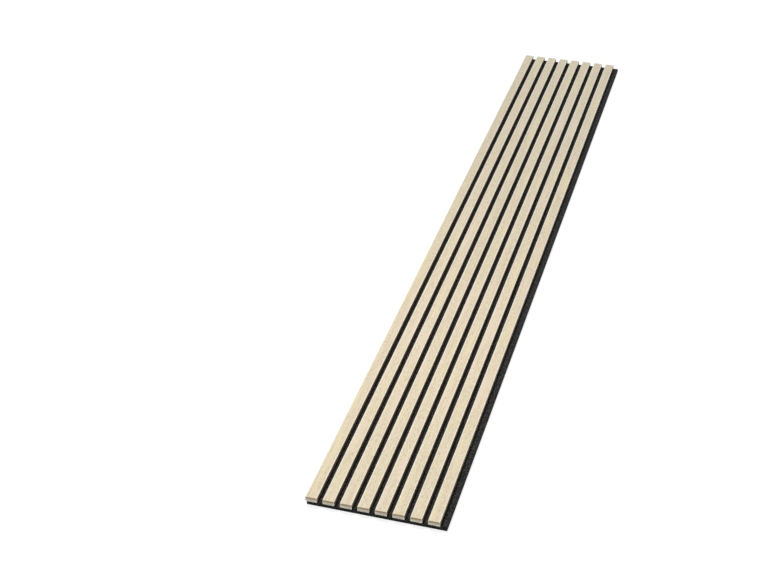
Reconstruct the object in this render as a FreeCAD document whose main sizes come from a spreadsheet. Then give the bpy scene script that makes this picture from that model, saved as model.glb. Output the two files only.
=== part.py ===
import FreeCAD, Part
import os

import Sketcher

# Acoustic slat wall panel, in millimetres: wooden slats side by side on a felt board, held to it
# by wire staples driven in from behind. It lies on its back, face up. The slats run along Y, the
# middle of the felt's back face is the origin and +Z points out of the wall into the room.

SIZES = (
    ("panel_length", 2400, "length of the slats and of the felt board, cut flush at both ends"),
    ("slat_count", 8, "number of slats"),
    ("slat_width", 27, "width of one slat"),
    ("slat_thickness", 12, "thickness of one slat"),
    ("slat_gap", 13, "open groove between two slats"),
    ("edge_radius", 0.8, "rounding of the two long edges on a slat's face"),
    ("felt_thickness", 9, "thickness of the felt board"),
    ("felt_lap", 3, "first slat's reach past the felt, to cover the joint with the next panel"),
    ("staple_rows", 8, "number of staples along each slat"),
    ("staple_margin", 60, "distance of the first and last staple from the panel's ends"),
    ("staple_crown", 12.8, "outer width of a staple"),
    ("staple_bite", 5.4, "depth that a staple's legs reach into the slat"),
    ("wire_width", 0.95, "flat wire of the staples, along the slat"),
    ("wire_thickness", 0.65, "flat wire of the staples, through its thin side"),
    ("crown_recess", 0.4, "depth of a staple's crown below the felt's back face"),
    ("leg_clearance", 0.05, "room on each side of a staple's wire"),
)

# Values that follow from the driving sizes
PITCH = "(sizes.slat_width + sizes.slat_gap)"
FELT_WIDTH = f"(sizes.slat_count * {PITCH})"
FIRST_SLAT = f"(sizes.slat_width / 2 - sizes.felt_lap - {FELT_WIDTH} / 2)"
SLAT_RUN = f"((sizes.slat_count - 1) * {PITCH})"
FIRST_ROW = "(sizes.staple_margin - sizes.panel_length / 2)"
ROW_RUN = "(sizes.panel_length - 2 * sizes.staple_margin)"
SLOT_WIDTH = "(sizes.wire_width + 2 * sizes.leg_clearance)"
LEG_HOLE = "(sizes.wire_thickness + 2 * sizes.leg_clearance)"
LEG_OFFSET = "((sizes.staple_crown - sizes.wire_thickness) / 2)"
CROWN_TOP = "(sizes.crown_recess + sizes.wire_thickness)"
LEG_TIP = "(sizes.felt_thickness + sizes.staple_bite)"


def add_sizes(doc):
    """Spreadsheet of the driving sizes: name, value and meaning, one size to a row."""
    sheet = doc.addObject("Spreadsheet::Sheet", "sizes")
    for row, (alias, size, meaning) in enumerate(SIZES, start=1):
        sheet.set(f"A{row}", alias)
        sheet.set(f"B{row}", str(size))
        sheet.set(f"C{row}", meaning)
        sheet.setAlias(f"B{row}", alias)
    doc.recompute()
    return sheet


def add_body(doc, label):
    body = doc.addObject("PartDesign::Body", label)
    body.Label = label
    return body


def origin_part(body, role):
    """One of the body's own origin planes or axes."""
    return next(item for item in body.Origin.OriginFeatures if item.Role == role)


def add_sketch(body, name, plane):
    sketch = body.newObject("Sketcher::SketchObject", name)
    sketch.AttachmentSupport = [(origin_part(body, plane), "")]
    sketch.MapMode = "FlatFace"
    return sketch


def bind(sketch, name, constraint_type, points, expression):
    """Dimension between two sketch points that follows an expression of the driving sizes."""
    size = float(sketch.evalExpression(expression))
    index = sketch.addConstraint(Sketcher.Constraint(constraint_type, *points, size))
    sketch.renameConstraint(index, name)
    sketch.setExpression(f"Constraints.{name}", expression)


def place_point(sketch, name, point, across, along):
    """Fix a sketch point at two coordinates, each an expression measured from the origin."""
    origin = (-1, 1)
    bind(sketch, f"{name}_across", "DistanceX", origin + point, across)
    bind(sketch, f"{name}_along", "DistanceY", origin + point, along)


def add_outline(sketch, corners):
    """Closed outline of straight lines through corners given as pairs of expressions."""
    spots = []
    for across, along in corners:
        x = float(sketch.evalExpression(across))
        y = float(sketch.evalExpression(along))
        spots.append(FreeCAD.Vector(x, y, 0))
    first = sketch.GeometryCount
    count = len(spots)
    for number in range(count):
        sketch.addGeometry(Part.LineSegment(spots[number], spots[(number + 1) % count]))
    for number in range(count):
        following = first + (number + 1) % count
        sketch.addConstraint(Sketcher.Constraint("Coincident", first + number, 2, following, 1))
    return first


def add_rectangle(sketch, name, middle, size):
    """Rectangle about a middle point, with both given as pairs of expressions."""
    left = f"{middle[0]} - {size[0]} / 2"
    right = f"{middle[0]} + {size[0]} / 2"
    bottom = f"{middle[1]} - {size[1]} / 2"
    top = f"{middle[1]} + {size[1]} / 2"
    first = add_outline(sketch, ((left, bottom), (right, bottom), (right, top), (left, top)))
    for side in (first, first + 2):
        sketch.addConstraint(Sketcher.Constraint("Horizontal", side))
    for side in (first + 1, first + 3):
        sketch.addConstraint(Sketcher.Constraint("Vertical", side))
    place_point(sketch, f"{name}_start", (first, 1), left, bottom)
    bind(sketch, f"{name}_width", "DistanceX", (first, 1, first, 2), size[0])
    bind(sketch, f"{name}_height", "DistanceY", (first + 1, 1, first + 1, 2), size[1])


def add_feature(body, kind, name, sketch, length, **settings):
    """Pad or pocket of a sketch, with a length that follows an expression."""
    feature = body.newObject(f"PartDesign::{kind}", name)
    feature.Profile = sketch
    for setting, choice in settings.items():
        setattr(feature, setting, choice)
    feature.setExpression("Length", length)
    return feature


def add_pattern(body, name, feature, across_slats):
    """Repeat a feature along a slat and, on pieces that span the panel, from slat to slat."""
    pattern = body.newObject("PartDesign::LinearPattern", name)
    pattern.Originals = [feature]
    pattern.Direction = (origin_part(body, "Y_Axis"), [""])
    pattern.setExpression("Length", ROW_RUN)
    pattern.setExpression("Occurrences", "sizes.staple_rows")
    if across_slats:
        pattern.Direction2 = (origin_part(body, "X_Axis"), [""])
        pattern.setExpression("Length2", SLAT_RUN)
        pattern.setExpression("Occurrences2", "sizes.slat_count")
    body.Tip = pattern


def add_staple_sketch(body, name, room, low, high):
    """First staple seen along its slat, from a low crown to high leg tips, with room at its sides."""
    sketch = add_sketch(body, name, "XZ_Plane")
    sketch.setExpression("AttachmentOffset.Base.z", f"-{FIRST_ROW}")
    outer = f"(sizes.staple_crown / 2 + {room})"
    inner = f"(sizes.staple_crown / 2 - sizes.wire_thickness - {room})"
    corners = (
        (f"{FIRST_SLAT} - {outer}", low),
        (f"{FIRST_SLAT} + {outer}", low),
        (f"{FIRST_SLAT} + {outer}", high),
        (f"{FIRST_SLAT} + {inner}", high),
        (f"{FIRST_SLAT} + {inner}", CROWN_TOP),
        (f"{FIRST_SLAT} - {inner}", CROWN_TOP),
        (f"{FIRST_SLAT} - {inner}", high),
        (f"{FIRST_SLAT} - {outer}", high),
    )
    first = add_outline(sketch, corners)
    for number, (across, up) in enumerate(corners):
        place_point(sketch, f"corner_{number + 1}", (first + number, 1), across, up)
    return sketch


def level_edges(pad, height):
    """Names of the edges along Y at a height above the body's base plane."""
    level = float(pad.evalExpression(height))
    names = []
    for number, edge in enumerate(pad.Shape.Edges, start=1):
        ends = [vertex.Point for vertex in edge.Vertexes]
        flat = all(abs(end.z - level) < Part.Precision.confusion() for end in ends)
        if flat and abs(ends[0].x - ends[1].x) < Part.Precision.confusion():
            names.append(f"Edge{number}")
    return names


def add_slat(doc, number):
    """Slat with two rounded face edges and blind holes for its staples' legs."""
    body = add_body(doc, f"slat_{number}")
    body.setExpression("Placement.Base.x", f"{FIRST_SLAT} + {number - 1} * {PITCH}")
    body.setExpression("Placement.Base.z", "sizes.felt_thickness")
    section = add_sketch(body, "section", "XZ_Plane")
    middle = ("0", "sizes.slat_thickness / 2")
    add_rectangle(section, "slat", middle, ("sizes.slat_width", "sizes.slat_thickness"))
    bar = add_feature(body, "Pad", "bar", section, "sizes.panel_length", SideType="Symmetric")
    doc.recompute()
    eased = body.newObject("PartDesign::Fillet", "eased_edges")
    eased.Base = (bar, level_edges(bar, "sizes.slat_thickness"))
    eased.setExpression("Radius", "sizes.edge_radius")
    legs = add_sketch(body, "leg_outlines", "XY_Plane")
    add_rectangle(legs, "left_leg", (f"-{LEG_OFFSET}", FIRST_ROW), (LEG_HOLE, SLOT_WIDTH))
    add_rectangle(legs, "right_leg", (LEG_OFFSET, FIRST_ROW), (LEG_HOLE, SLOT_WIDTH))
    depth = "sizes.staple_bite + sizes.leg_clearance"
    holes = add_feature(body, "Pocket", "leg_holes", legs, depth, Reversed=True)
    add_pattern(body, "rows_of_holes", holes, across_slats=False)
    return body


def add_felt(doc):
    """Felt board with a slot through it for each staple, open at the back over the sunk crown."""
    body = add_body(doc, "felt_backing")
    outline = add_sketch(body, "outline", "XY_Plane")
    add_rectangle(outline, "board", ("0", "0"), (FELT_WIDTH, "sizes.panel_length"))
    add_feature(body, "Pad", "board", outline, "sizes.felt_thickness")
    room = "sizes.leg_clearance"
    slot = add_staple_sketch(body, "slot_outline", room, "0", "sizes.felt_thickness")
    slots = add_feature(body, "Pocket", "staple_slot", slot, SLOT_WIDTH, SideType="Symmetric")
    add_pattern(body, "rows_of_slots", slots, across_slats=True)
    return body


def add_staples(doc):
    """Flat-wire staples, one solid each, with the crown seated on the floor of its slot."""
    body = add_body(doc, "staples")
    body.AllowCompound = True
    outline = add_staple_sketch(body, "wire_outline", "0", "sizes.crown_recess", LEG_TIP)
    wire = add_feature(body, "Pad", "wire", outline, "sizes.wire_width", SideType="Symmetric")
    add_pattern(body, "rows_of_staples", wire, across_slats=True)
    return body


def check(doc, bodies):
    """Stop on an object that failed, a pocket that cuts nothing or a sub-part without a valid shape."""
    for item in doc.Objects:
        if "Invalid" in item.State or "Error" in item.State:
            raise RuntimeError(f"{item.Label} failed: {item.State}")
        if item.isDerivedFrom("PartDesign::Pocket"):
            if item.Shape.Volume >= item.BaseFeature.Shape.Volume:
                raise RuntimeError(f"{item.Label} cuts nothing")
    for body in bodies:
        if body.Shape.isNull() or not body.Shape.isValid():
            raise RuntimeError(f"{body.Label} has no valid shape")


def export(bodies):
    os.makedirs("parts", exist_ok=True)
    for body in bodies:
        body.Shape.exportStep(f"parts/{body.Label}.step")


def main():
    doc = FreeCAD.newDocument("acoustic_slat_panel")
    sheet = add_sizes(doc)
    bodies = [add_felt(doc)]
    bodies += [add_slat(doc, number + 1) for number in range(int(sheet.slat_count))]
    bodies.append(add_staples(doc))
    doc.recompute()
    check(doc, bodies)
    export(bodies)


main()
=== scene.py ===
from math import radians, tau

import bpy
from bpy.props import FloatProperty, FloatVectorProperty, IntProperty, PointerProperty
from mathutils import Color, Matrix, Vector


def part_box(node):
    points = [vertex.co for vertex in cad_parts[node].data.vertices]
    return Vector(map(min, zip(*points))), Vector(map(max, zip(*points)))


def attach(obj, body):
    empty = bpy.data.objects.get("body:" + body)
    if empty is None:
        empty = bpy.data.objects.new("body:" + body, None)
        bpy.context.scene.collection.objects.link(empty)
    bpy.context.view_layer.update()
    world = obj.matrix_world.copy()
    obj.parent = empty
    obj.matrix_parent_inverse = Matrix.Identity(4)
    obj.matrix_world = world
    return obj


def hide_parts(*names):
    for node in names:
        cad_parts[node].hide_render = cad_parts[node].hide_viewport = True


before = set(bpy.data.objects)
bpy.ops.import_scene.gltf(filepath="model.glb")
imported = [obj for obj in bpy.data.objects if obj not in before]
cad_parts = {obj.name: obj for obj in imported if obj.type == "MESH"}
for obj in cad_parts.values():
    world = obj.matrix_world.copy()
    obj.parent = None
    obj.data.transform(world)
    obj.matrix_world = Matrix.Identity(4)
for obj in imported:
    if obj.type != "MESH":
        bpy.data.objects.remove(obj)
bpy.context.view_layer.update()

bl_info = {
    "name": "Acoustic slat panel",
    "version": (1, 0, 0),
    "blender": (4, 5, 0),
    "location": "3D View > Sidebar > Slat panel",
    "description": "Dresses the packed slat panel in wood, felt and steel wire, on a plain studio stage",
    "category": "Object",
}

# The panel lies face up, in metres: slats along Y, the felt's back face on z = 0, the room above it.
MM = 0.001

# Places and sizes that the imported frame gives
SLATS = sorted(
    (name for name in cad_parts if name.startswith("slat_")),
    key=lambda name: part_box(name)[0].x,
)
FIRST_LOW, FIRST_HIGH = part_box(SLATS[0])
LAST_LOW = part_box(SLATS[-1])[0]
FELT_LOW, FELT_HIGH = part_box("felt_backing")
WIRE_LOW, WIRE_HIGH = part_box("staples")
FIRST_MIDDLE = (FIRST_LOW.x + FIRST_HIGH.x) / 2
SLAT_RUN = LAST_LOW.x - FIRST_LOW.x

FLOAT = "NodeSocketFloat"
INTEGER = "NodeSocketInt"
VECTOR = "NodeSocketVector"
COLOUR = "NodeSocketColor"
MATERIAL = "NodeSocketMaterial"
GEOMETRY = "NodeSocketGeometry"

# Noise values between which nearly all of a noise lies
USUAL_NOISE = (0.3, 0.7)


def millimetres(*sizes):
    return tuple(size * MM for size in sizes)


def tone(red, green, blue):
    """Linear colour of an 8-bit screen colour."""
    return tuple(Color((red / 255, green / 255, blue / 255)).from_srgb_to_scene_linear())


def size_property(name, description, default):
    return FloatProperty(name=name, description=description, default=default, unit="LENGTH", precision=5)


def angle_property(name, description, degrees):
    return FloatProperty(name=name, description=description, default=radians(degrees), subtype="ANGLE")


def number_property(name, description, default, unit="NONE"):
    return FloatProperty(name=name, description=description, default=default, unit=unit)


def colour_property(name, description, default):
    return FloatVectorProperty(
        name=name, description=description, default=default, subtype="COLOR", min=0, max=1
    )


class SlatSettings(bpy.types.PropertyGroup):
    """Edges, wood colours, painted highlight and painted shade of the slats."""

    face_radius: size_property("Face radius", "Rounding of the two long edges on a slat's face", 0.8 * MM)
    back_radius: size_property("Back radius", "Rounding of the two long edges on the felt", 0.15 * MM)
    end_ease: size_property("End ease", "Fine chamfer round a slat's sawn ends", 0.3 * MM)
    # Painted highlight: width of the paler band along a slat's long edges
    highlight_width: size_property("Pale edge", "Width of the paler band along a slat's long edges", 3.2 * MM)
    pale: colour_property("Pale wood", "Early wood between the growth lines", tone(243, 230, 203))
    deep: colour_property("Deep wood", "Late wood of the growth lines", tone(211, 193, 159))
    pore: colour_property("Pores", "Pores in the wood", tone(170, 143, 108))
    rosy: colour_property("Rosy patch", "Warm patches of the wood", tone(240, 219, 197))
    straw: colour_property("Straw patch", "Greenish yellow patches of the wood", tone(237, 223, 183))
    # Painted shade: the slats' sides are coloured darker, more so towards the felt
    side: colour_property("Side", "Deeper wood on a slat's sides", tone(118, 97, 70))
    # Painted highlight: the paler colour along a slat's long edges and at the bottom of its ends
    edge: colour_property("Edge", "Paler wood along the long edges", tone(255, 249, 234))


class FeltSettings(bpy.types.PropertyGroup):
    """Surface and colours of the felt board."""

    cell: size_property("Cell", "Spacing of the board's mesh", 5 * MM)
    unevenness: size_property("Unevenness", "How far the felt's faces rise and fall", 0.2 * MM)
    edge_radius: size_property("Edge radius", "Soft rounding of the cut edges", 0.6 * MM)
    dimple_reach: size_property("Dimple reach", "How far a staple draws in the felt around it", 10 * MM)
    dark: colour_property("Dark fibres", "Most of the felt's fibres", tone(14, 14, 14))
    grey: colour_property("Grey fibres", "Paler fibres carded into the felt", tone(104, 103, 101))


class StapleSettings(bpy.types.PropertyGroup):
    """Wire of the staples behind the slats."""

    rows: IntProperty(name="Rows", description="Number of staples along each slat", default=8, min=2)
    crown: size_property("Crown", "Outer width of a staple", 12.8 * MM)
    wire_width: size_property("Wire width", "Flat wire, along the slat", 0.95 * MM)
    wire_thickness: size_property("Wire thickness", "Flat wire, through its thin side", 0.65 * MM)
    bend: size_property("Bend", "Radius of the wire's middle at the shoulders", 0.6 * MM)
    zinc: colour_property("Zinc", "Galvanised wire", (0.55, 0.55, 0.56))
    tarnish: colour_property("Tarnish", "Dull patches of the galvanised wire", (0.36, 0.36, 0.37))


class StageSettings(bpy.types.PropertyGroup):
    """Camera, floor and light."""

    eye: FloatVectorProperty(
        name="Eye", description="Place of the camera", default=(0.70615, -3.54740, 2.22019),
        subtype="XYZ", unit="LENGTH",
    )
    turn: angle_property("Turn", "Camera's heading, from +Y to the left", 16.299)
    tilt: angle_property("Tilt", "How far the camera looks down", 33.443)
    roll: angle_property("Roll", "Camera's lean", -0.2097)
    lens: number_property("Lens", "Focal length on a 36 mm wide sensor", 70.119, "CAMERA")
    floor_drop: size_property("Floor drop", "Floor's distance below the panel's back", 0.5 * MM)
    floor_side: size_property("Floor side", "Length of the square floor's side", 60.0)
    sun_strength: number_property("Key light", "Strength of the broad key light", 2.54)
    sun_spread: angle_property("Key spread", "Apparent size of the key light", 20)
    lamp_power: number_property("Front lamp", "Power of the lamp above the near end", 5.4, "POWER")
    fill_power: number_property("Fill lamp", "Power of the low lamp before the near end", 12.0, "POWER")
    sky_strength: number_property("Sky", "Strength of the even light all round", 0.08)


class PanelSettings(bpy.types.PropertyGroup):
    """Everything that a user would change on the slat panel."""

    slats: PointerProperty(type=SlatSettings)
    felt: PointerProperty(type=FeltSettings)
    staples: PointerProperty(type=StapleSettings)
    stage: PointerProperty(type=StageSettings)


class Nodes:
    """Adds nodes to a tree. An input takes a plain value, a socket, or a node for its first output."""

    def __init__(self, tree):
        self.tree = tree

    def feed(self, socket, value):
        if isinstance(value, bpy.types.Node):
            value = next(output for output in value.outputs if output.enabled)
        if isinstance(value, bpy.types.NodeSocket):
            self.tree.links.new(value, socket)
        else:
            socket.default_value = value

    def add(self, kind, inputs=None, **settings):
        """Node with settings, and with inputs that are fed by name."""
        node = self.tree.nodes.new(kind)
        for name, choice in settings.items():
            setattr(node, name, choice)
        for name, value in (inputs or {}).items():
            socket = next(item for item in node.inputs if item.enabled and item.name == name)
            self.feed(socket, value)
        return node

    def in_order(self, kind, *values, **settings):
        """Node with settings, and with inputs that are fed from the first one on."""
        node = self.add(kind, **settings)
        for socket, value in zip(node.inputs, values):
            self.feed(socket, value)
        return node

    def group(self, tree, **inputs):
        """Placed node group; an input's name has spaces where its keyword has underscores."""
        node = self.add("ShaderNodeGroup", node_tree=tree)
        for name, value in inputs.items():
            self.feed(node.inputs[name.replace("_", " ")], value)
        return node

    def math(self, operation, *values):
        return self.in_order("ShaderNodeMath", *values, operation=operation)

    def vector(self, operation, *values):
        return self.in_order("ShaderNodeVectorMath", *values, operation=operation)

    def half(self, value):
        return self.math("MULTIPLY", value, 0.5)

    def between(self, first, second, share):
        """Value at a share of the way from one value to another."""
        return self.math("MULTIPLY_ADD", self.math("SUBTRACT", second, first), share, first)

    def combine(self, x=0.0, y=0.0, z=0.0):
        return self.add("ShaderNodeCombineXYZ", {"X": x, "Y": y, "Z": z})

    def axes(self, vector):
        """A vector's X, Y and Z, by name."""
        return self.add("ShaderNodeSeparateXYZ", {"Vector": vector}).outputs

    def length(self, vector):
        return self.vector("LENGTH", vector).outputs["Value"]

    def remap(self, value, low, high, to_low=0.0, to_high=1.0):
        """Smooth step from one range of values to another."""
        limits = {"Value": value, "From Min": low, "From Max": high, "To Min": to_low, "To Max": to_high}
        return self.add("ShaderNodeMapRange", limits, interpolation_type="SMOOTHSTEP")

    def noise(self, place, grain, detail=2.0, roughness=0.5):
        """Noise value between 0 and 1, with grains of the given size in metres along each axis."""
        scaled = self.vector("DIVIDE", place, grain)
        inputs = {"Vector": scaled, "Scale": 1.0, "Detail": detail, "Roughness": roughness}
        return self.add("ShaderNodeTexNoise", inputs)

    def blend(self, share, first, second):
        """Colour at a share of the way from one colour to another."""
        inputs = {"Factor": share, "A": first, "B": second}
        return self.add("ShaderNodeMix", inputs, data_type="RGBA")


def rgba(colour):
    return (*colour, 1.0)


def grey(level):
    return (level, level, level, 1.0)


def new_tree(name, kind, inputs, outputs):
    """Empty node tree with named sockets: its helper, its inputs and its outputs."""
    tree = bpy.data.node_groups.new(name, kind)
    for label, socket_type in inputs:
        tree.interface.new_socket(label, in_out="INPUT", socket_type=socket_type)
    for label, socket_type in outputs:
        tree.interface.new_socket(label, in_out="OUTPUT", socket_type=socket_type)
    given = tree.nodes.new("NodeGroupInput").outputs
    result = tree.nodes.new("NodeGroupOutput").inputs
    return Nodes(tree), given, result


def new_material(name, **constants):
    """Material, its helper and its one Principled shader, with constant sockets set by name."""
    material = bpy.data.materials.new(name)
    material.use_nodes = True
    shader = material.node_tree.nodes["Principled BSDF"]
    for label, value in constants.items():
        shader.inputs[label.replace("_", " ")].default_value = value
    return material, Nodes(material.node_tree), shader


def object_place(nodes):
    return nodes.add("ShaderNodeTexCoord").outputs["Object"]


def attribute(nodes, name):
    return nodes.add("ShaderNodeAttribute", attribute_name=name).outputs["Fac"]


def add_bump(nodes, shader, height, depth, strength):
    bump = nodes.add("ShaderNodeBump", {"Strength": strength, "Distance": depth, "Height": height})
    nodes.feed(shader.inputs["Normal"], bump)


def from_middle(nodes):
    """Place of each of four points in their row, from -1.5 to 1.5."""
    return nodes.math("SUBTRACT", nodes.add("GeometryNodeInputIndex"), 1.5)


def four_points(nodes, position):
    """Open line through four points, each at a position that follows its place in the row."""
    line = nodes.add("GeometryNodeCurvePrimitiveLine")
    points = nodes.add("GeometryNodeResampleCurve", {"Curve": line, "Count": 4})
    return nodes.add("GeometryNodeSetPosition", {"Geometry": points, "Position": position})


def round_corners(nodes, curve, radius, segments):
    rounding = {"Curve": curve, "Count": segments, "Radius": radius, "Limit Radius": True}
    return nodes.add("GeometryNodeFilletCurve", rounding, mode="POLY")


def grow(name, tree, values):
    """Plain mesh object of what a geometry tree makes from the given input values."""
    piece = bpy.data.objects.new(name, bpy.data.meshes.new(name))
    modifier = piece.modifiers.new("shape", "NODES")
    modifier.node_group = tree
    for socket in tree.interface.items_tree:
        if socket.in_out == "INPUT":
            modifier[socket.identifier] = values[socket.name]
    bpy.context.scene.collection.objects.link(piece)
    depsgraph = bpy.context.evaluated_depsgraph_get()
    evaluated = piece.evaluated_get(depsgraph)
    mesh = bpy.data.meshes.new_from_object(evaluated, preserve_all_data_layers=True, depsgraph=depsgraph)
    piece.modifiers.remove(modifier)
    piece.data = mesh
    mesh.name = name
    return piece


def seat(piece, slot, *nodes):
    """Let a finished piece stand for CAD nodes, which are hidden, under the root body; the slot is not
    used.
    """
    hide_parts(*nodes)
    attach(piece, "root")


def staple_rows(staples):
    """Place of the first row of staples along the slats, and the run from it to the last row."""
    return WIRE_LOW.y + staples.wire_width / 2, WIRE_HIGH.y - WIRE_LOW.y - staples.wire_width


# Slats

EDGE_SEGMENTS = 5  # of each rounded long edge
END_SHRINK = 1.5  # thickness lost at a slat's ends, in end eases
FLAT_FACE = 0.999  # least share of one axis in the normal of a flat face

# Usual size of each pattern in the wood: across a slat, along it and through it
WANDER_GRAIN = millimetres(60, 500, 60)
BAND_GRAIN = millimetres(6, 900, 6)
LINE_GRAIN = millimetres(0.9, 150, 0.9)
FLAKE_GRAIN = millimetres(1.6, 16, 1.6)
CLUSTER_GRAIN = millimetres(2.6, 9, 2.6)
PORE_GRAIN = millimetres(0.24, 7, 0.24)
PATCH_GRAIN = millimetres(13, 190, 13)
RING_BLUR_GRAIN = millimetres(3, 3, 3)
END_PORE_GRAIN = millimetres(0.4, 0.4, 0.4)
SAW_GRAIN = millimetres(9, 9, 0.35)

# Noise values at which a pattern begins to show, and at which it shows in full
PALE_SHOWS = (0.35, 0.62)
CLUSTER_SHOWS = (0.44, 0.64)
PORE_SHOWS = (0.58, 0.70)
END_PORE_SHOWS = (0.56, 0.70)
ROSY_SHOWS = (0.50, 0.70)
STRAW_SHOWS = (0.50, 0.30)
# Painted highlight along a slat's long edges, its strength following the figure
HIGHLIGHT_SHOWS = (0.35, 0.65)

# Shares that each pattern takes: one value, or its least and its most
LINE_SHARE = 0.7
FLAKE_SHARE = 0.6
CLUSTER_SHARE = 0.45
LONE_PORE_SHARE = 0.15
CLUSTER_PORE_SHARE = 0.75
END_PORE_SHARE = 0.8
PATCH_SHARE = 0.7
# Painted highlight along a slat's long edges
HIGHLIGHT_SHARE = (0.7, 0.95)
# Painted shade down a slat's sides, from its top to its bottom
SIDE_SHADE_SHARE = (0.45, 0.72)
# Painted shade below the face of an end
BROW_SHADE_SHARE = (0.35, 0.75)
# Painted highlight towards the bottom of an end
FOOT_HIGHLIGHT_SHARE = 0.75

SLAT_LIGHTNESS = (0.988, 1.010)  # of the darkest and the palest slat
FACE_ROUGHNESS = (0.66, 0.52)  # from deep to pale wood
END_ROUGHNESS = (0.7, 0.9)  # from closed to open pores

WANDER_REACH = 14 * MM  # how far the growth lines wander
PITH_DEPTH = 60 * MM  # below the middle of a slat
RING_WIDTH = 1.7 * MM
RING_BLUR = 5.0  # radians

HIGHLIGHT_FADE = (1.0, 0.3)  # depths at which the painted highlight begins and is full, in widths of its band
SIDE_SHADE_BEGINS = 0.3 * MM  # distance from a slat's side at which its painted shade begins
SIDE_SHADE_FULL = 0.1 * MM  # distance from a slat's side at which its painted shade is full
BROW_SHADE_DROP = 1.5 * MM  # depth below the face at which the painted shade on an end is darkest


def slat_tree():
    """One slat: a section with rounded edges, swept along Y between finely eased ends."""
    inputs = (
        ("Size", VECTOR), ("Middle", VECTOR), ("Number", FLOAT), ("Face Radius", FLOAT),
        ("Back Radius", FLOAT), ("End Ease", FLOAT), ("Face Finish", MATERIAL), ("End Finish", MATERIAL),
    )
    nodes, given, result = new_tree("slat_shape", "GeometryNodeTree", inputs, (("Slat", GEOMETRY),))
    size = nodes.axes(given["Size"])
    position = nodes.axes(nodes.add("GeometryNodeInputPosition"))

    # Four stations along the slat: both ends and a fine chamfer's width inside each
    station = from_middle(nodes)
    inside = nodes.math("LESS_THAN", nodes.math("ABSOLUTE", station), 1.0)
    held_back = nodes.math("MULTIPLY", inside, given["End Ease"])
    reach = nodes.math("SUBTRACT", nodes.half(size["Y"]), held_back)
    along = nodes.math("MULTIPLY", nodes.math("SIGN", station), reach)
    path = four_points(nodes, nodes.combine(y=along))
    shrink = nodes.math("DIVIDE", nodes.math("MULTIPLY", given["End Ease"], END_SHRINK), size["Z"])
    at_ends = nodes.math("SUBTRACT", 1.0, inside)
    scale = nodes.math("SUBTRACT", 1.0, nodes.math("MULTIPLY", at_ends, shrink))

    # The section's Y points down once it is swept, so its lower corners make the slat's face
    outline = {"Width": size["X"], "Height": size["Z"]}
    section = nodes.add("GeometryNodeCurvePrimitiveQuadrilateral", outline)
    on_face = nodes.math("LESS_THAN", position["Y"], 0.0)
    radius = nodes.between(given["Back Radius"], given["Face Radius"], on_face)
    rounded = round_corners(nodes, section, radius, EDGE_SEGMENTS)
    sweep = {"Curve": path, "Profile Curve": rounded, "Scale": scale, "Fill Caps": True}

    # What the wood reads: the slat's number, and the distances from its middle line and middle height
    marked = nodes.add("GeometryNodeCurveToMesh", sweep)
    marks = {"slat_number": given["Number"], "across": position["X"], "rise": position["Z"]}
    for label, value in marks.items():
        mark = {"Geometry": marked, "Name": label, "Value": value}
        marked = nodes.add("GeometryNodeStoreNamedAttribute", mark)
    placed = nodes.add("GeometryNodeTransform", {"Geometry": marked, "Translation": given["Middle"]})

    # Shade only the eased edges smooth, so that the flat faces stay flat in the light
    facing = nodes.axes(nodes.vector("ABSOLUTE", nodes.add("GeometryNodeInputNormal")))
    largest = nodes.math("MAXIMUM", nodes.math("MAXIMUM", facing["X"], facing["Y"]), facing["Z"])
    eased = nodes.math("LESS_THAN", largest, FLAT_FACE)
    smooth = nodes.add("GeometryNodeSetShadeSmooth", {"Geometry": placed, "Shade Smooth": eased})
    whole = nodes.add("GeometryNodeRealizeInstances", {"Geometry": smooth})
    faces = nodes.add("GeometryNodeSetMaterial", {"Geometry": whole, "Material": given["Face Finish"]})
    at_end = nodes.math("GREATER_THAN", facing["Y"], 0.5)
    ends = {"Geometry": faces, "Selection": at_end, "Material": given["End Finish"]}
    nodes.feed(result["Slat"], nodes.add("GeometryNodeSetMaterial", ends))
    return nodes.tree


def slat_tint_tree():
    """Tone of one slat among the others, with rosy and straw-coloured patches."""
    inputs = (
        ("Colour", COLOUR), ("Number", FLOAT), ("Place", VECTOR), ("Rosy", COLOUR), ("Straw", COLOUR),
    )
    nodes, given, result = new_tree("slat_tint", "ShaderNodeTree", inputs, (("Colour", COLOUR),))
    patch = nodes.noise(given["Place"], PATCH_GRAIN, detail=3.0, roughness=0.6)
    rosy = nodes.remap(patch, *ROSY_SHOWS, 0.0, PATCH_SHARE)
    straw = nodes.remap(patch, *STRAW_SHOWS, 0.0, PATCH_SHARE)
    warmed = nodes.blend(rosy, given["Colour"], given["Rosy"])
    patched = nodes.blend(straw, warmed, given["Straw"])
    chance = nodes.add("ShaderNodeTexWhiteNoise", {"W": given["Number"]}, noise_dimensions="1D")
    lightness = nodes.remap(chance, 0.0, 1.0, *SLAT_LIGHTNESS)
    toned = nodes.vector("MULTIPLY", patched, nodes.combine(lightness, lightness, lightness))
    nodes.feed(result["Colour"], toned)
    return nodes.tree


def painted_highlight_tree():
    """Painted highlight: paler colour in a band along the outer edges, ragged with the wood's figure."""
    inputs = (
        ("Colour", COLOUR), ("Edge", COLOUR), ("From Middle", FLOAT), ("Half", FLOAT), ("Band", FLOAT),
        ("Figure", FLOAT),
    )
    nodes, given, result = new_tree("painted_highlight", "ShaderNodeTree", inputs, (("Colour", COLOUR),))
    depth = nodes.math("SUBTRACT", given["Half"], nodes.math("ABSOLUTE", given["From Middle"]))
    reach = nodes.math("DIVIDE", depth, given["Band"])
    ragged = nodes.math("ADD", reach, nodes.math("SUBTRACT", 0.5, given["Figure"]))
    strength = nodes.remap(given["Figure"], *HIGHLIGHT_SHOWS, *HIGHLIGHT_SHARE)
    share = nodes.math("MULTIPLY", nodes.remap(ragged, *HIGHLIGHT_FADE), strength)
    nodes.feed(result["Colour"], nodes.blend(share, given["Colour"], given["Edge"]))
    return nodes.tree


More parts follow.
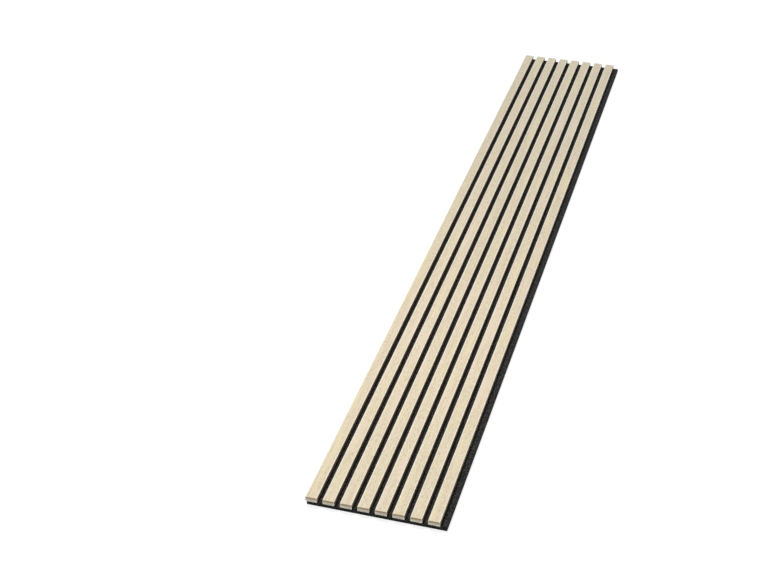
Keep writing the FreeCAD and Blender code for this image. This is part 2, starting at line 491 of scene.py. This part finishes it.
def tint_wood(nodes, tint, settings, colour, place):
    """Wood in the tone and with the patches of its slat."""
    return nodes.group(
        tint, Colour=colour, Number=attribute(nodes, "slat_number"), Place=place,
        Rosy=rgba(settings.rosy), Straw=rgba(settings.straw),
    )


def wood_with_highlight(nodes, painted_highlight, settings, colour, across, width, figure):
    """Wood with the painted highlight along a slat's long edges."""
    return nodes.group(
        painted_highlight, Colour=colour, Edge=rgba(settings.edge), From_Middle=across, Half=width / 2,
        Band=settings.highlight_width, Figure=figure,
    )


def face_finish(settings, size, tint, painted_highlight):
    """Matt lacquered wood with straight growth lines and clusters of fine pores along the slat, with
    painted shade down its sides and a painted highlight along its long edges.
    """
    material, nodes, shader = new_material("pale_wood_face", Specular_IOR_Level=0.25)
    place = object_place(nodes)
    across = attribute(nodes, "across")
    half_width = size.x / 2
    half_thickness = size.z / 2

    # Growth lines that wander slightly: broad bands, fine lines and short flakes
    wander = nodes.noise(place, WANDER_GRAIN, detail=1.0)
    shift = nodes.math("MULTIPLY", nodes.math("SUBTRACT", wander, 0.5), WANDER_REACH)
    wavy = nodes.vector("ADD", place, nodes.combine(x=shift))
    bands = nodes.noise(wavy, BAND_GRAIN, detail=2.0, roughness=0.6)
    lines = nodes.noise(wavy, LINE_GRAIN, detail=3.0, roughness=0.6)
    flakes = nodes.noise(wavy, FLAKE_GRAIN, detail=3.0, roughness=0.7)
    figure = nodes.between(nodes.between(bands, lines, LINE_SHARE), flakes, FLAKE_SHARE)
    grown = nodes.blend(nodes.remap(figure, *PALE_SHOWS), rgba(settings.deep), rgba(settings.pale))

    # Pores: short dashes, stronger where they crowd together in deeper wood
    clusters = nodes.noise(wavy, CLUSTER_GRAIN, detail=2.0)
    crowded = nodes.remap(clusters, *CLUSTER_SHOWS)
    wood = nodes.blend(nodes.math("MULTIPLY", crowded, CLUSTER_SHARE), grown, rgba(settings.deep))
    dashes = nodes.noise(wavy, PORE_GRAIN, detail=0.0)
    gain = CLUSTER_PORE_SHARE - LONE_PORE_SHARE
    strength = nodes.math("MULTIPLY_ADD", crowded, gain, LONE_PORE_SHARE)
    holes = nodes.math("MULTIPLY", nodes.remap(dashes, *PORE_SHOWS), strength)
    opened = nodes.blend(holes, wood, rgba(settings.pore))

    # Painted highlight along the long edges, and painted shade down the sides, deeper towards the felt
    tinted = tint_wood(nodes, tint, settings, opened, place)
    highlighted = wood_with_highlight(nodes, painted_highlight, settings, tinted, across, size.x, figure)
    out = nodes.math("ABSOLUTE", across)
    on_shaded_side = nodes.remap(out, half_width - SIDE_SHADE_BEGINS, half_width - SIDE_SHADE_FULL)
    side_shade_share = nodes.remap(attribute(nodes, "rise"), half_thickness, -half_thickness, *SIDE_SHADE_SHARE)
    sides = nodes.blend(side_shade_share, tinted, rgba(settings.side))
    nodes.feed(shader.inputs["Base Color"], nodes.blend(on_shaded_side, highlighted, sides))
    nodes.feed(shader.inputs["Roughness"], nodes.remap(figure, *USUAL_NOISE, *FACE_ROUGHNESS))
    relief = nodes.math("SUBTRACT", nodes.half(lines), holes)
    add_bump(nodes, shader, relief, depth=0.08 * MM, strength=0.5)
    return material


def end_finish(settings, size, tint, painted_highlight):
    """Sawn end of a slat: growth rings, open pores, painted highlight at the rims, painted shade above
    and painted highlight below.
    """
    material, nodes, shader = new_material("pale_wood_end", Specular_IOR_Level=0.15)
    place = object_place(nodes)
    across = attribute(nodes, "across")
    rise = attribute(nodes, "rise")
    half_width = size.x / 2

    # Growth rings round a pith below the slat, and pores cut across
    from_pith = nodes.combine(across, 0.0, nodes.math("ADD", rise, PITH_DEPTH))
    ring = nodes.math("DIVIDE", nodes.length(from_pith), RING_WIDTH)
    blur = nodes.noise(place, RING_BLUR_GRAIN, detail=3.0)
    turn = nodes.math("MULTIPLY_ADD", blur, RING_BLUR, nodes.math("MULTIPLY", ring, tau))
    grown = nodes.remap(nodes.math("SINE", turn), -1.0, 1.0)
    wood = nodes.blend(grown, rgba(settings.deep), rgba(settings.pale))
    dots = nodes.noise(place, END_PORE_GRAIN, detail=1.0)
    holes = nodes.remap(dots, *END_PORE_SHOWS, 0.0, END_PORE_SHARE)
    opened = nodes.blend(holes, wood, rgba(settings.pore))

    # Painted highlight at both sides, painted shade below the face that fades into them, and painted
    # highlight towards the felt
    tinted = tint_wood(nodes, tint, settings, opened, place)
    rim_highlighted = wood_with_highlight(nodes, painted_highlight, settings, tinted, across, size.x, blur)
    out = nodes.math("ABSOLUTE", across)
    inset = nodes.remap(out, half_width, half_width - settings.highlight_width, *BROW_SHADE_SHARE)
    brow_shade = nodes.remap(rise, -size.z / 8, size.z / 2 - BROW_SHADE_DROP)
    brow_shaded = nodes.blend(nodes.math("MULTIPLY", brow_shade, inset), rim_highlighted, rgba(settings.pore))
    foot_highlight = nodes.remap(rise, size.z / 4, -size.z / 3, 0.0, FOOT_HIGHLIGHT_SHARE)
    nodes.feed(shader.inputs["Base Color"], nodes.blend(foot_highlight, brow_shaded, rgba(settings.edge)))
    nodes.feed(shader.inputs["Roughness"], nodes.remap(dots, *USUAL_NOISE, *END_ROUGHNESS))
    saw = nodes.noise(place, SAW_GRAIN, detail=2.0)
    add_bump(nodes, shader, nodes.math("SUBTRACT", saw, holes), depth=0.1 * MM, strength=0.6)
    return material


class SLATPANEL_OT_slats(bpy.types.Operator):
    """Make the wooden slats"""

    bl_idname = "slat_panel.slats"
    bl_label = "Slats"

    def execute(self, context):
        settings = context.scene.slat_panel.slats
        size = FIRST_HIGH - FIRST_LOW
        tint = slat_tint_tree()
        painted_highlight = painted_highlight_tree()
        face = face_finish(settings, size, tint, painted_highlight)
        end = end_finish(settings, size, tint, painted_highlight)
        tree = slat_tree()
        for number, node in enumerate(SLATS, start=1):
            low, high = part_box(node)
            values = {
                "Size": high - low, "Middle": (low + high) / 2, "Number": float(number),
                "Face Radius": settings.face_radius, "Back Radius": settings.back_radius,
                "End Ease": settings.end_ease, "Face Finish": face, "End Finish": end,
            }
            seat(grow(f"wood_{node}", tree, values), "slat_wood", node)
        return {"FINISHED"}


# Felt board

BOARD_LAYERS = 3  # of points through the board
DIMPLE_CORE = 0.4  # share of a dimple's reach that is drawn in fully
CUT_SEGMENTS = 2  # of each rounded cut edge
CUT_ANGLE = radians(60)  # least angle at an edge that is rounded

# Usual size of each pattern in the felt: across the slats, along them and through the board
WAVE_GRAIN = millimetres(35, 60, 35)
TUFT_GRAIN = millimetres(3.2, 4.6, 3.2)
CURL_GRAIN = millimetres(5, 5, 5)
STRAND_GRAIN = millimetres(0.32, 5, 0.32)

# How far the strands curl, and their directions about the vertical
CURL_REACH = 5 * MM
STRAND_ANGLES = (radians(12), radians(58), radians(101), radians(147))

# Noise values at which strands and tufts begin to show, and at which they show in full
STRAND_SHOWS = (0.55, 0.72)
TUFT_SHOWS = (0.38, 0.62)

TUFT_SHARE = (0.08, 1.0)  # of pale fibres, in the thinnest and in the thickest tuft
STRAND_SHARE = 0.9  # part of a tuft's pale fibres that a strand adds
GROUND_SHARE = 0.12  # part of a tuft's pale fibres that lies between strands
FELT_ROUGHNESS = (0.88, 1.0)  # from the thinnest to the thickest tuft


def felt_tree():
    """Felt board with uneven faces and a dimple on its back round each staple's sunk crown."""
    inputs = (
        ("Size", VECTOR), ("Middle", VECTOR), ("Cells Across", INTEGER), ("Cells Along", INTEGER),
        ("Unevenness", FLOAT), ("Seat Depth", FLOAT), ("Crown", FLOAT), ("Dimple Reach", FLOAT),
        ("First Staple", VECTOR), ("Staple Spacing", VECTOR), ("Slats", INTEGER), ("Rows", INTEGER),
        ("Finish", MATERIAL),
    )
    nodes, given, result = new_tree("felt_shape", "GeometryNodeTree", inputs, (("Felt", GEOMETRY),))
    cells = {
        "Size": given["Size"], "Vertices X": nodes.math("ADD", given["Cells Across"], 1.0),
        "Vertices Y": nodes.math("ADD", given["Cells Along"], 1.0), "Vertices Z": BOARD_LAYERS,
    }
    block = nodes.add("GeometryNodeMeshCube", cells)
    board = nodes.add("GeometryNodeTransform", {"Geometry": block, "Translation": given["Middle"]})
    position = nodes.add("GeometryNodeInputPosition")
    place = nodes.axes(position)

    # Share of the way from the middle height to a face, so that both faces only ever sink
    above_middle = nodes.math("SUBTRACT", place["Z"], nodes.axes(given["Middle"])["Z"])
    level = nodes.math("DIVIDE", above_middle, nodes.half(nodes.axes(given["Size"])["Z"]))
    waves = nodes.noise(position, WAVE_GRAIN, detail=3.0)
    sink = nodes.math("MULTIPLY", waves, given["Unevenness"])

    # Distance to the nearest staple's crown, on a grid of slats and rows
    first = nodes.axes(given["First Staple"])
    spacing = nodes.axes(given["Staple Spacing"])
    away = {}
    for axis, count in (("X", given["Slats"]), ("Y", given["Rows"])):
        offset = nodes.math("SUBTRACT", place[axis], first[axis])
        nearest = nodes.math("ROUND", nodes.math("DIVIDE", offset, spacing[axis]))
        last = nodes.math("SUBTRACT", count, 1.0)
        step = nodes.math("MINIMUM", nodes.math("MAXIMUM", nearest, 0.0), last)
        past_step = nodes.math("SUBTRACT", offset, nodes.math("MULTIPLY", step, spacing[axis]))
        away[axis] = nodes.math("ABSOLUTE", past_step)
    past_crown = nodes.math("SUBTRACT", away["X"], nodes.half(given["Crown"]))
    distance = nodes.length(nodes.combine(nodes.math("MAXIMUM", past_crown, 0.0), away["Y"]))

    # Felt drawn in on the back, level with the crown's upper side close to a staple
    core = nodes.math("MULTIPLY", given["Dimple Reach"], DIMPLE_CORE)
    drawn_in = nodes.remap(distance, core, given["Dimple Reach"], 1.0, 0.0)
    dimple = nodes.math("MULTIPLY", drawn_in, given["Seat Depth"])
    on_back = nodes.math("LESS_THAN", level, -0.5)
    depth = nodes.math("MAXIMUM", sink, nodes.math("MULTIPLY", dimple, on_back))
    inwards = nodes.math("MULTIPLY", nodes.math("MULTIPLY", level, depth), -1.0)
    sunk = {"Geometry": board, "Offset": nodes.combine(z=inwards)}
    shaped = nodes.add("GeometryNodeSetPosition", sunk)
    smooth = nodes.add("GeometryNodeSetShadeSmooth", {"Geometry": shaped})
    whole = nodes.add("GeometryNodeRealizeInstances", {"Geometry": smooth})
    finished = nodes.add("GeometryNodeSetMaterial", {"Geometry": whole, "Material": given["Finish"]})
    nodes.feed(result["Felt"], finished)
    return nodes.tree


def strands_tree():
    """Fine curly strands of felt that run at an angle to the slats, 1 on a strand and 0 between."""
    inputs = (("Place", VECTOR), ("Angle", FLOAT))
    nodes, given, result = new_tree("felt_strands", "ShaderNodeTree", inputs, (("Strands", FLOAT),))
    curl = nodes.noise(given["Place"], CURL_GRAIN, detail=1.0).outputs["Color"]
    drift = nodes.vector("SCALE", nodes.vector("SUBTRACT", curl, (0.5, 0.5, 0.5)))
    nodes.feed(drift.inputs["Scale"], CURL_REACH)
    curly = nodes.vector("ADD", given["Place"], drift)
    turning = {"Vector": curly, "Angle": given["Angle"]}
    turned = nodes.add("ShaderNodeVectorRotate", turning, rotation_type="Z_AXIS")
    streaks = nodes.noise(turned, STRAND_GRAIN, detail=1.0)
    nodes.feed(result["Strands"], nodes.remap(streaks, *STRAND_SHOWS))
    return nodes.tree


def felt_finish(settings):
    """Charcoal felt of crossing fibres, with more pale ones in some tufts than in others."""
    constants = {"Specular_IOR_Level": 0.05, "Sheen_Weight": 0.06, "Sheen_Roughness": 0.5}
    material, nodes, shader = new_material("charcoal_felt", **constants)
    place = object_place(nodes)
    tree = strands_tree()
    strands = 0.0
    for angle in STRAND_ANGLES:
        strands = nodes.math("MAXIMUM", strands, nodes.group(tree, Place=place, Angle=angle))
    tufts = nodes.noise(place, TUFT_GRAIN, detail=3.0, roughness=0.65)
    thick = nodes.remap(tufts, *TUFT_SHOWS, *TUFT_SHARE)
    on_strands = nodes.math("MULTIPLY", thick, STRAND_SHARE)
    ground = nodes.math("MULTIPLY", thick, GROUND_SHARE)
    pale = nodes.math("MULTIPLY_ADD", strands, on_strands, ground)
    nodes.feed(shader.inputs["Base Color"], nodes.blend(pale, rgba(settings.dark), rgba(settings.grey)))
    nodes.feed(shader.inputs["Roughness"], nodes.remap(tufts, *USUAL_NOISE, *FELT_ROUGHNESS))
    relief = nodes.math("MULTIPLY_ADD", strands, 0.5, tufts)
    add_bump(nodes, shader, relief, depth=0.5 * MM, strength=0.7)
    return material


class SLATPANEL_OT_felt(bpy.types.Operator):
    """Make the felt board"""

    bl_idname = "slat_panel.felt"
    bl_label = "Felt board"

    def execute(self, context):
        settings = context.scene.slat_panel.felt
        staples = context.scene.slat_panel.staples
        size = FELT_HIGH - FELT_LOW
        first_row, row_run = staple_rows(staples)
        values = {
            "Size": size, "Middle": (FELT_LOW + FELT_HIGH) / 2,
            "Cells Across": round(size.x / settings.cell), "Cells Along": round(size.y / settings.cell),
            "Unevenness": settings.unevenness,
            "Seat Depth": WIRE_LOW.z - FELT_LOW.z + staples.wire_thickness,
            "Crown": staples.crown, "Dimple Reach": settings.dimple_reach,
            "First Staple": Vector((FIRST_MIDDLE, first_row, 0)),
            "Staple Spacing": Vector((SLAT_RUN / (len(SLATS) - 1), row_run / (staples.rows - 1), 1)),
            "Slats": len(SLATS), "Rows": staples.rows, "Finish": felt_finish(settings),
        }
        piece = grow("felt_board", felt_tree(), values)
        rounding = piece.modifiers.new("cut_edges", "BEVEL")
        rounding.width = settings.edge_radius
        rounding.segments = CUT_SEGMENTS
        rounding.limit_method = "ANGLE"
        rounding.angle_limit = CUT_ANGLE
        seat(piece, "felt", "felt_backing")
        return {"FINISHED"}


# Staples

BEND_SEGMENTS = 4  # of each shoulder
CORNER_SEGMENTS = 1  # of each corner of the flat wire
CORNER_RADIUS = 0.25  # of the flat wire, in wire thicknesses

TARNISH_GRAIN = millimetres(2.5, 1.2, 2.5)  # usual size of a dull patch
DRAWN_GRAIN = millimetres(6, 0.12, 6)  # usual size of a drawing line
TARNISH_SHOWS = (0.42, 0.68)  # noise values at which a patch begins and is full
WIRE_ROUGHNESS = (0.3, 0.55)  # from bright to dull wire


def staple_tree():
    """Grid of staples, each a flat wire bent at two shoulders, with its legs up into the slat."""
    inputs = (
        ("First Staple", VECTOR), ("Run Across", FLOAT), ("Run Along", FLOAT), ("Slats", INTEGER),
        ("Rows", INTEGER), ("Crown", FLOAT), ("Leg", FLOAT), ("Wire Width", FLOAT),
        ("Wire Thickness", FLOAT), ("Bend", FLOAT), ("Finish", MATERIAL),
    )
    nodes, given, result = new_tree("staple_shape", "GeometryNodeTree", inputs, (("Staples", GEOMETRY),))

    # Four corners of the wire's middle line: leg tip, shoulder, shoulder, leg tip
    corner = from_middle(nodes)
    at_tip = nodes.math("GREATER_THAN", nodes.math("ABSOLUTE", corner), 1.0)
    half_span = nodes.half(nodes.math("SUBTRACT", given["Crown"], given["Wire Thickness"]))
    across = nodes.math("MULTIPLY", nodes.math("SIGN", corner), half_span)
    rise = nodes.between(nodes.half(given["Wire Thickness"]), given["Leg"], at_tip)
    corners = four_points(nodes, nodes.combine(across, 0.0, rise))
    path = round_corners(nodes, corners, given["Bend"], BEND_SEGMENTS)
    wire = {"Width": given["Wire Thickness"], "Height": given["Wire Width"]}
    section = nodes.add("GeometryNodeCurvePrimitiveQuadrilateral", wire)
    corner_radius = nodes.math("MULTIPLY", given["Wire Thickness"], CORNER_RADIUS)
    rounded = round_corners(nodes, section, corner_radius, CORNER_SEGMENTS)
    sweep = {"Curve": path, "Profile Curve": rounded, "Fill Caps": True}
    staple = nodes.add("GeometryNodeCurveToMesh", sweep)
    smooth = nodes.add("GeometryNodeSetShadeSmooth", {"Geometry": staple})

    # One staple at each crossing of a slat and a row
    spread = {
        "Size X": given["Run Across"], "Size Y": given["Run Along"],
        "Vertices X": given["Slats"], "Vertices Y": given["Rows"],
    }
    grid = nodes.add("GeometryNodeMeshGrid", spread)
    half_run = nodes.combine(nodes.half(given["Run Across"]), nodes.half(given["Run Along"]))
    middle = nodes.vector("ADD", given["First Staple"], half_run)
    spots = nodes.add("GeometryNodeTransform", {"Geometry": grid, "Translation": middle})
    driven = nodes.add("GeometryNodeInstanceOnPoints", {"Points": spots, "Instance": smooth})
    whole = nodes.add("GeometryNodeRealizeInstances", {"Geometry": driven})
    finished = nodes.add("GeometryNodeSetMaterial", {"Geometry": whole, "Material": given["Finish"]})
    nodes.feed(result["Staples"], finished)
    return nodes.tree


def zinc_finish(settings):
    """Galvanised wire with dull patches and drawing lines."""
    material, nodes, shader = new_material("galvanised_wire", Metallic=1.0)
    place = object_place(nodes)
    patches = nodes.noise(place, TARNISH_GRAIN, detail=3.0)
    dull = nodes.remap(patches, *TARNISH_SHOWS)
    coat = nodes.blend(dull, rgba(settings.zinc), rgba(settings.tarnish))
    nodes.feed(shader.inputs["Base Color"], coat)
    nodes.feed(shader.inputs["Roughness"], nodes.remap(patches, *USUAL_NOISE, *WIRE_ROUGHNESS))
    drawn = nodes.noise(place, DRAWN_GRAIN, detail=2.0)
    add_bump(nodes, shader, drawn, depth=0.02 * MM, strength=0.4)
    return material


class SLATPANEL_OT_staples(bpy.types.Operator):
    """Make the staples that hold the slats to the felt"""

    bl_idname = "slat_panel.staples"
    bl_label = "Staples"

    def execute(self, context):
        settings = context.scene.slat_panel.staples
        first_row, row_run = staple_rows(settings)
        values = {
            "First Staple": Vector((FIRST_MIDDLE, first_row, WIRE_LOW.z)),
            "Run Across": SLAT_RUN, "Run Along": row_run, "Slats": len(SLATS), "Rows": settings.rows,
            "Crown": settings.crown, "Leg": WIRE_HIGH.z - WIRE_LOW.z, "Wire Width": settings.wire_width,
            "Wire Thickness": settings.wire_thickness, "Bend": settings.bend,
            "Finish": zinc_finish(settings),
        }
        seat(grow("wire_staples", staple_tree(), values), "staple_steel", "staples")
        return {"FINISHED"}


# Stage

FLOOR_SEEN = 0.22  # grey that takes the panel's shadow
FLOOR_GLOW = 0.87  # white that is seen on top of it
FLOOR_LIT = 0.9  # grey that throws light back on the panel

# Lamps: place, point that is lit, colour, and width and height, in metres
KEY_PLACE = (-1.1, 1.5, 3.0)
KEY_TARGET = (0, 0, 0)
KEY_COLOUR = (0.95, 1.0, 1.06)
FRONT_PLACE = (-0.3, -0.65, 1.4)
FRONT_TARGET = (0, -0.65, 0)
FRONT_COLOUR = (1.0, 0.87, 0.68)
FRONT_SIZE = (0.3, 1.6)
FILL_PLACE = (-0.6, -4.2, 0.9)
FILL_TARGET = (0, -1.2, 0)
FILL_COLOUR = (1, 1, 1)
FILL_SIZE = (2.0, 0.8)

SENSOR_WIDTH = 36.0  # of the camera, in millimetres


def seen_directly(nodes, lighting, seen):
    """One shader for light, and one for what the camera, reflections and refractions show."""
    path = nodes.add("ShaderNodeLightPath").outputs
    shown = nodes.math("MAXIMUM", path["Is Camera Ray"], path["Is Glossy Ray"])
    direct = nodes.math("MAXIMUM", shown, path["Is Transmission Ray"])
    return nodes.in_order("ShaderNodeMixShader", direct, lighting, seen)


def floor_finish():
    """Pale floor: white where the light is full, and greyer in the panel's shadow."""
    material = bpy.data.materials.new("pale_floor")
    material.use_nodes = True
    nodes = Nodes(material.node_tree)
    nodes.tree.nodes.remove(nodes.tree.nodes["Principled BSDF"])
    shaded = nodes.add("ShaderNodeBsdfDiffuse", {"Color": grey(FLOOR_SEEN)})
    glow = nodes.add("ShaderNodeEmission", {"Color": grey(1.0), "Strength": FLOOR_GLOW})
    seen = nodes.in_order("ShaderNodeAddShader", shaded, glow)
    lit = nodes.add("ShaderNodeBsdfDiffuse", {"Color": grey(FLOOR_LIT)})
    nodes.feed(nodes.tree.nodes["Material Output"].inputs["Surface"], seen_directly(nodes, lit, seen))
    return material


def add_floor(settings):
    half = settings.floor_side / 2
    level = -settings.floor_drop
    mesh = bpy.data.meshes.new("floor")
    corners = [(-half, -half, level), (half, -half, level), (half, half, level), (-half, half, level)]
    mesh.from_pydata(corners, [], [(0, 1, 2, 3)])
    mesh.materials.append(floor_finish())
    floor = bpy.data.objects.new("floor", mesh)
    bpy.context.scene.collection.objects.link(floor)


def add_sky(settings):
    """Even light all round, seen as plain white."""
    world = bpy.data.worlds.new("studio")
    world.use_nodes = True
    nodes = Nodes(world.node_tree)
    even = nodes.tree.nodes["Background"]
    nodes.feed(even.inputs["Color"], grey(1.0))
    nodes.feed(even.inputs["Strength"], settings.sky_strength)
    white = nodes.add("ShaderNodeBackground", {"Color": grey(1.0), "Strength": 1.0})
    nodes.feed(nodes.tree.nodes["World Output"].inputs["Surface"], seen_directly(nodes, even, white))
    bpy.context.scene.world = world


def add_light(kind, name, place, target, **settings):
    lamp = bpy.data.lights.new(name, kind)
    for label, value in settings.items():
        setattr(lamp, label, value)
    holder = bpy.data.objects.new(name, lamp)
    aim = (Vector(target) - Vector(place)).to_track_quat("-Z", "Y")
    holder.matrix_world = Matrix.Translation(place) @ aim.to_matrix().to_4x4()
    bpy.context.scene.collection.objects.link(holder)


def add_area_lamp(name, place, target, colour, size, power):
    width, height = size
    add_light(
        "AREA", name, place, target,
        energy=power, color=colour, shape="RECTANGLE", size=width, size_y=height,
    )


def add_camera(settings):
    camera = bpy.data.cameras.new("camera")
    camera.sensor_width = SENSOR_WIDTH
    camera.lens = settings.lens
    holder = bpy.data.objects.new("camera", camera)
    heading = Matrix.Rotation(settings.turn, 4, "Z")
    dip = Matrix.Rotation(radians(90) - settings.tilt, 4, "X")
    lean = Matrix.Rotation(settings.roll, 4, "Z")
    holder.matrix_world = Matrix.Translation(settings.eye) @ heading @ dip @ lean
    bpy.context.scene.collection.objects.link(holder)
    bpy.context.scene.camera = holder


class SLATPANEL_OT_stage(bpy.types.Operator):
    """Make the floor, the light and the camera"""

    bl_idname = "slat_panel.stage"
    bl_label = "Stage"

    def execute(self, context):
        settings = context.scene.slat_panel.stage
        add_floor(settings)
        add_sky(settings)
        add_light(
            "SUN", "key", KEY_PLACE, KEY_TARGET,
            energy=settings.sun_strength, angle=settings.sun_spread, color=KEY_COLOUR,
        )
        add_area_lamp(
            "front_lamp", FRONT_PLACE, FRONT_TARGET, FRONT_COLOUR, FRONT_SIZE, settings.lamp_power
        )
        add_area_lamp(
            "fill_lamp", FILL_PLACE, FILL_TARGET, FILL_COLOUR, FILL_SIZE, settings.fill_power
        )
        add_camera(settings)
        context.scene.view_settings.view_transform = "Standard"
        return {"FINISHED"}


class SLATPANEL_PT_sidebar(bpy.types.Panel):
    """Settings and operators of the slat panel"""

    bl_idname = "SLATPANEL_PT_sidebar"
    bl_label = "Slat panel"
    bl_space_type = "VIEW_3D"
    bl_region_type = "UI"
    bl_category = "Slat panel"

    def draw(self, context):
        for name, operator in OPERATORS.items():
            box = self.layout.box()
            group = getattr(context.scene.slat_panel, name)
            for label in group.__annotations__:
                box.prop(group, label)
            box.operator(operator.bl_idname)


OPERATORS = {
    "slats": SLATPANEL_OT_slats,
    "felt": SLATPANEL_OT_felt,
    "staples": SLATPANEL_OT_staples,
    "stage": SLATPANEL_OT_stage,
}
CLASSES = (
    SlatSettings,
    FeltSettings,
    StapleSettings,
    StageSettings,
    PanelSettings,
    *OPERATORS.values(),
    SLATPANEL_PT_sidebar,
)


def register():
    for item in CLASSES:
        bpy.utils.register_class(item)
    bpy.types.Scene.slat_panel = PointerProperty(type=PanelSettings)


def unregister():
    del bpy.types.Scene.slat_panel
    for item in reversed(CLASSES):
        bpy.utils.unregister_class(item)


def main():
    register()
    bpy.ops.slat_panel.slats()
    bpy.ops.slat_panel.felt()
    bpy.ops.slat_panel.staples()
    bpy.ops.slat_panel.stage()


if __name__ == "__main__":
    main()
